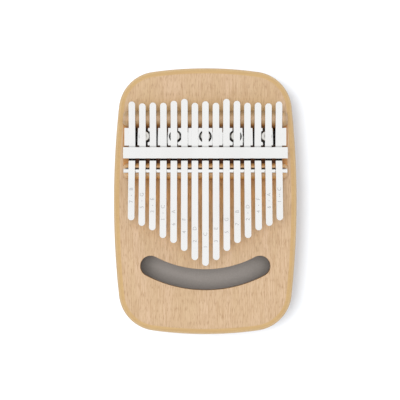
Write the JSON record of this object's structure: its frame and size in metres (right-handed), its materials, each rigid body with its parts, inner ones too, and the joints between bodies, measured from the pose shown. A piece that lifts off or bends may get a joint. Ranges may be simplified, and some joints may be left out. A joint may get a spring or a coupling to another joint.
{
  "type": "mbira",
  "caption": "Board-mounted mbira (kalimba): a shallow wooden sound box with a smile-shaped sound hole and spring-steel tines held down on a wooden bridge.",
  "frame": {"origin": "centre of the back board's underside", "axes": "+Z out of the soundboard; +Y from the tines' playing tips to their rear ends, along the box; +X to the player's right along the row of tines"},
  "size_m": [0.1238, 0.18, 0.0489],
  "materials": {
    "wood_face": "satin lacquered beech veneer",
    "wood_body": "satin lacquered beech",
    "plated_steel": "polished nickel plate",
    "spring_steel": "polished lengthwise",
    "black_fibre": "matt black fibre",
    "grey_card": "matt grey card"
  },
  "bodies": {
    "box": {"back_board": "wood_body", "side_frame": "wood_body", "chamber_liner": "grey_card", "inner_brace": "wood_body", "soundboard": "wood_face", "bridge_block": "wood_body", "bridge_plate": "plated_steel", "pressure_bar": "plated_steel", "front_rod": "plated_steel", "bridge_screw_1": "plated_steel", "bridge_screw_2": "plated_steel", "bridge_screw_3": "plated_steel", "bridge_screw_4": "plated_steel", "bridge_screw_5": "plated_steel", "screw_washer_1": "black_fibre", "screw_washer_2": "black_fibre", "screw_washer_3": "black_fibre", "screw_washer_4": "black_fibre", "screw_washer_5": "black_fibre", "clamp_bolt_1": "plated_steel", "clamp_bolt_2": "plated_steel", "clamp_bolt_3": "plated_steel", "clamp_bolt_4": "plated_steel"},
    "tine_01_seat": {"tine_01_root": "spring_steel"},
    "tine_01_tongue": {"tine_01_reed": "spring_steel"},
    "tine_02_seat": {"tine_02_root": "spring_steel"},
    "tine_02_tongue": {"tine_02_reed": "spring_steel"},
    "tine_03_seat": {"tine_03_root": "spring_steel"},
    "tine_03_tongue": {"tine_03_reed": "spring_steel"},
    "tine_04_seat": {"tine_04_root": "spring_steel"},
    "tine_04_tongue": {"tine_04_reed": "spring_steel"},
    "tine_05_seat": {"tine_05_root": "spring_steel"},
    "tine_05_tongue": {"tine_05_reed": "spring_steel"},
    "tine_06_seat": {"tine_06_root": "spring_steel"},
    "tine_06_tongue": {"tine_06_reed": "spring_steel"},
    "tine_07_seat": {"tine_07_root": "spring_steel"},
    "tine_07_tongue": {"tine_07_reed": "spring_steel"},
    "tine_08_seat": {"tine_08_root": "spring_steel"},
    "tine_08_tongue": {"tine_08_reed": "spring_steel"},
    "tine_09_seat": {"tine_09_root": "spring_steel"},
    "tine_09_tongue": {"tine_09_reed": "spring_steel"},
    "tine_10_seat": {"tine_10_root": "spring_steel"},
    "tine_10_tongue": {"tine_10_reed": "spring_steel"},
    "tine_11_seat": {"tine_11_root": "spring_steel"},
    "tine_11_tongue": {"tine_11_reed": "spring_steel"},
    "tine_12_seat": {"tine_12_root": "spring_steel"},
    "tine_12_tongue": {"tine_12_reed": "spring_steel"},
    "tine_13_seat": {"tine_13_root": "spring_steel"},
    "tine_13_tongue": {"tine_13_reed": "spring_steel"},
    "tine_14_seat": {"tine_14_root": "spring_steel"},
    "tine_14_tongue": {"tine_14_reed": "spring_steel"},
    "tine_15_seat": {"tine_15_root": "spring_steel"},
    "tine_15_tongue": {"tine_15_reed": "spring_steel"}
  },
  "joints": [
    {"name": "tine_01_tuning", "type": "slide", "parent": "box", "child": "tine_01_seat", "axis": [0, 1, 0], "range_m": [-0.001, 0.001]},
    {"name": "tine_01_pluck", "type": "hinge", "parent": "tine_01_seat", "child": "tine_01_tongue", "pos_m": [-0.04844, 0.02, 0.04155], "axis": [1, 0, 0], "range_deg": [-3, 5], "stiffness_Nm_per_rad": 8.83},
    {"name": "tine_02_tuning", "type": "slide", "parent": "box", "child": "tine_02_seat", "axis": [0, 1, 0], "range_m": [-0.001, 0.001]},
    {"name": "tine_02_pluck", "type": "hinge", "parent": "tine_02_seat", "child": "tine_02_tongue", "pos_m": [-0.04152, 0.02, 0.04155], "axis": [1, 0, 0], "range_deg": [-3, 5], "stiffness_Nm_per_rad": 7.95},
    {"name": "tine_03_tuning", "type": "slide", "parent": "box", "child": "tine_03_seat", "axis": [0, 1, 0], "range_m": [-0.001, 0.001]},
    {"name": "tine_03_pluck", "type": "hinge", "parent": "tine_03_seat", "child": "tine_03_tongue", "pos_m": [-0.0346, 0.02, 0.04155], "axis": [1, 0, 0], "range_deg": [-3, 5], "stiffness_Nm_per_rad": 7.36},
    {"name": "tine_04_tuning", "type": "slide", "parent": "box", "child": "tine_04_seat", "axis": [0, 1, 0], "range_m": [-0.001, 0.001]},
    {"name": "tine_04_pluck", "type": "hinge", "parent": "tine_04_seat", "child": "tine_04_tongue", "pos_m": [-0.02768, 0.02, 0.04155], "axis": [1, 0, 0], "range_deg": [-3, 5], "stiffness_Nm_per_rad": 6.52},
    {"name": "tine_05_tuning", "type": "slide", "parent": "box", "child": "tine_05_seat", "axis": [0, 1, 0], "range_m": [-0.001, 0.001]},
    {"name": "tine_05_pluck", "type": "hinge", "parent": "tine_05_seat", "child": "tine_05_tongue", "pos_m": [-0.02076, 0.02, 0.04155], "axis": [1, 0, 0], "range_deg": [-3, 5], "stiffness_Nm_per_rad": 6.08},
    {"name": "tine_06_tuning", "type": "slide", "parent": "box", "child": "tine_06_seat", "axis": [0, 1, 0], "range_m": [-0.001, 0.001]},
    {"name": "tine_06_pluck", "type": "hinge", "parent": "tine_06_seat", "child": "tine_06_tongue", "pos_m": [-0.01384, 0.02, 0.04155], "axis": [1, 0, 0], "range_deg": [-3, 5], "stiffness_Nm_per_rad": 5.48},
    {"name": "tine_07_tuning", "type": "slide", "parent": "box", "child": "tine_07_seat", "axis": [0, 1, 0], "range_m": [-0.001, 0.001]},
    {"name": "tine_07_pluck", "type": "hinge", "parent": "tine_07_seat", "child": "tine_07_tongue", "pos_m": [-0.00692, 0.02, 0.04155], "axis": [1, 0, 0], "range_deg": [-3, 5], "stiffness_Nm_per_rad": 4.93},
    {"name": "tine_08_tuning", "type": "slide", "parent": "box", "child": "tine_08_seat", "axis": [0, 1, 0], "range_m": [-0.001, 0.001]},
    {"name": "tine_08_pluck", "type": "hinge", "parent": "tine_08_seat", "child": "tine_08_tongue", "pos_m": [0, 0.02, 0.04155], "axis": [1, 0, 0], "range_deg": [-3, 5], "stiffness_Nm_per_rad": 4.63},
    {"name": "tine_09_tuning", "type": "slide", "parent": "box", "child": "tine_09_seat", "axis": [0, 1, 0], "range_m": [-0.001, 0.001]},
    {"name": "tine_09_pluck", "type": "hinge", "parent": "tine_09_seat", "child": "tine_09_tongue", "pos_m": [0.00692, 0.02, 0.04155], "axis": [1, 0, 0], "range_deg": [-3, 5], "stiffness_Nm_per_rad": 4.93},
    {"name": "tine_10_tuning", "type": "slide", "parent": "box", "child": "tine_10_seat", "axis": [0, 1, 0], "range_m": [-0.001, 0.001]},
    {"name": "tine_10_pluck", "type": "hinge", "parent": "tine_10_seat", "child": "tine_10_tongue", "pos_m": [0.01384, 0.02, 0.04155], "axis": [1, 0, 0], "range_deg": [-3, 5], "stiffness_Nm_per_rad": 5.48},
    {"name": "tine_11_tuning", "type": "slide", "parent": "box", "child": "tine_11_seat", "axis": [0, 1, 0], "range_m": [-0.001, 0.001]},
    {"name": "tine_11_pluck", "type": "hinge", "parent": "tine_11_seat", "child": "tine_11_tongue", "pos_m": [0.02076, 0.02, 0.04155], "axis": [1, 0, 0], "range_deg": [-3, 5], "stiffness_Nm_per_rad": 6.08},
    {"name": "tine_12_tuning", "type": "slide", "parent": "box", "child": "tine_12_seat", "axis": [0, 1, 0], "range_m": [-0.001, 0.001]},
    {"name": "tine_12_pluck", "type": "hinge", "parent": "tine_12_seat", "child": "tine_12_tongue", "pos_m": [0.02768, 0.02, 0.04155], "axis": [1, 0, 0], "range_deg": [-3, 5], "stiffness_Nm_per_rad": 6.52},
    {"name": "tine_13_tuning", "type": "slide", "parent": "box", "child": "tine_13_seat", "axis": [0, 1, 0], "range_m": [-0.001, 0.001]},
    {"name": "tine_13_pluck", "type": "hinge", "parent": "tine_13_seat", "child": "tine_13_tongue", "pos_m": [0.0346, 0.02, 0.04155], "axis": [1, 0, 0], "range_deg": [-3, 5], "stiffness_Nm_per_rad": 7.36},
    {"name": "tine_14_tuning", "type": "slide", "parent": "box", "child": "tine_14_seat", "axis": [0, 1, 0], "range_m": [-0.001, 0.001]},
    {"name": "tine_14_pluck", "type": "hinge", "parent": "tine_14_seat", "child": "tine_14_tongue", "pos_m": [0.04152, 0.02, 0.04155], "axis": [1, 0, 0], "range_deg": [-3, 5], "stiffness_Nm_per_rad": 7.95},
    {"name": "tine_15_tuning", "type": "slide", "parent": "box", "child": "tine_15_seat", "axis": [0, 1, 0], "range_m": [-0.001, 0.001]},
    {"name": "tine_15_pluck", "type": "hinge", "parent": "tine_15_seat", "child": "tine_15_tongue", "pos_m": [0.04844, 0.02, 0.04155], "axis": [1, 0, 0], "range_deg": [-3, 5], "stiffness_Nm_per_rad": 8.83}
  ]
}
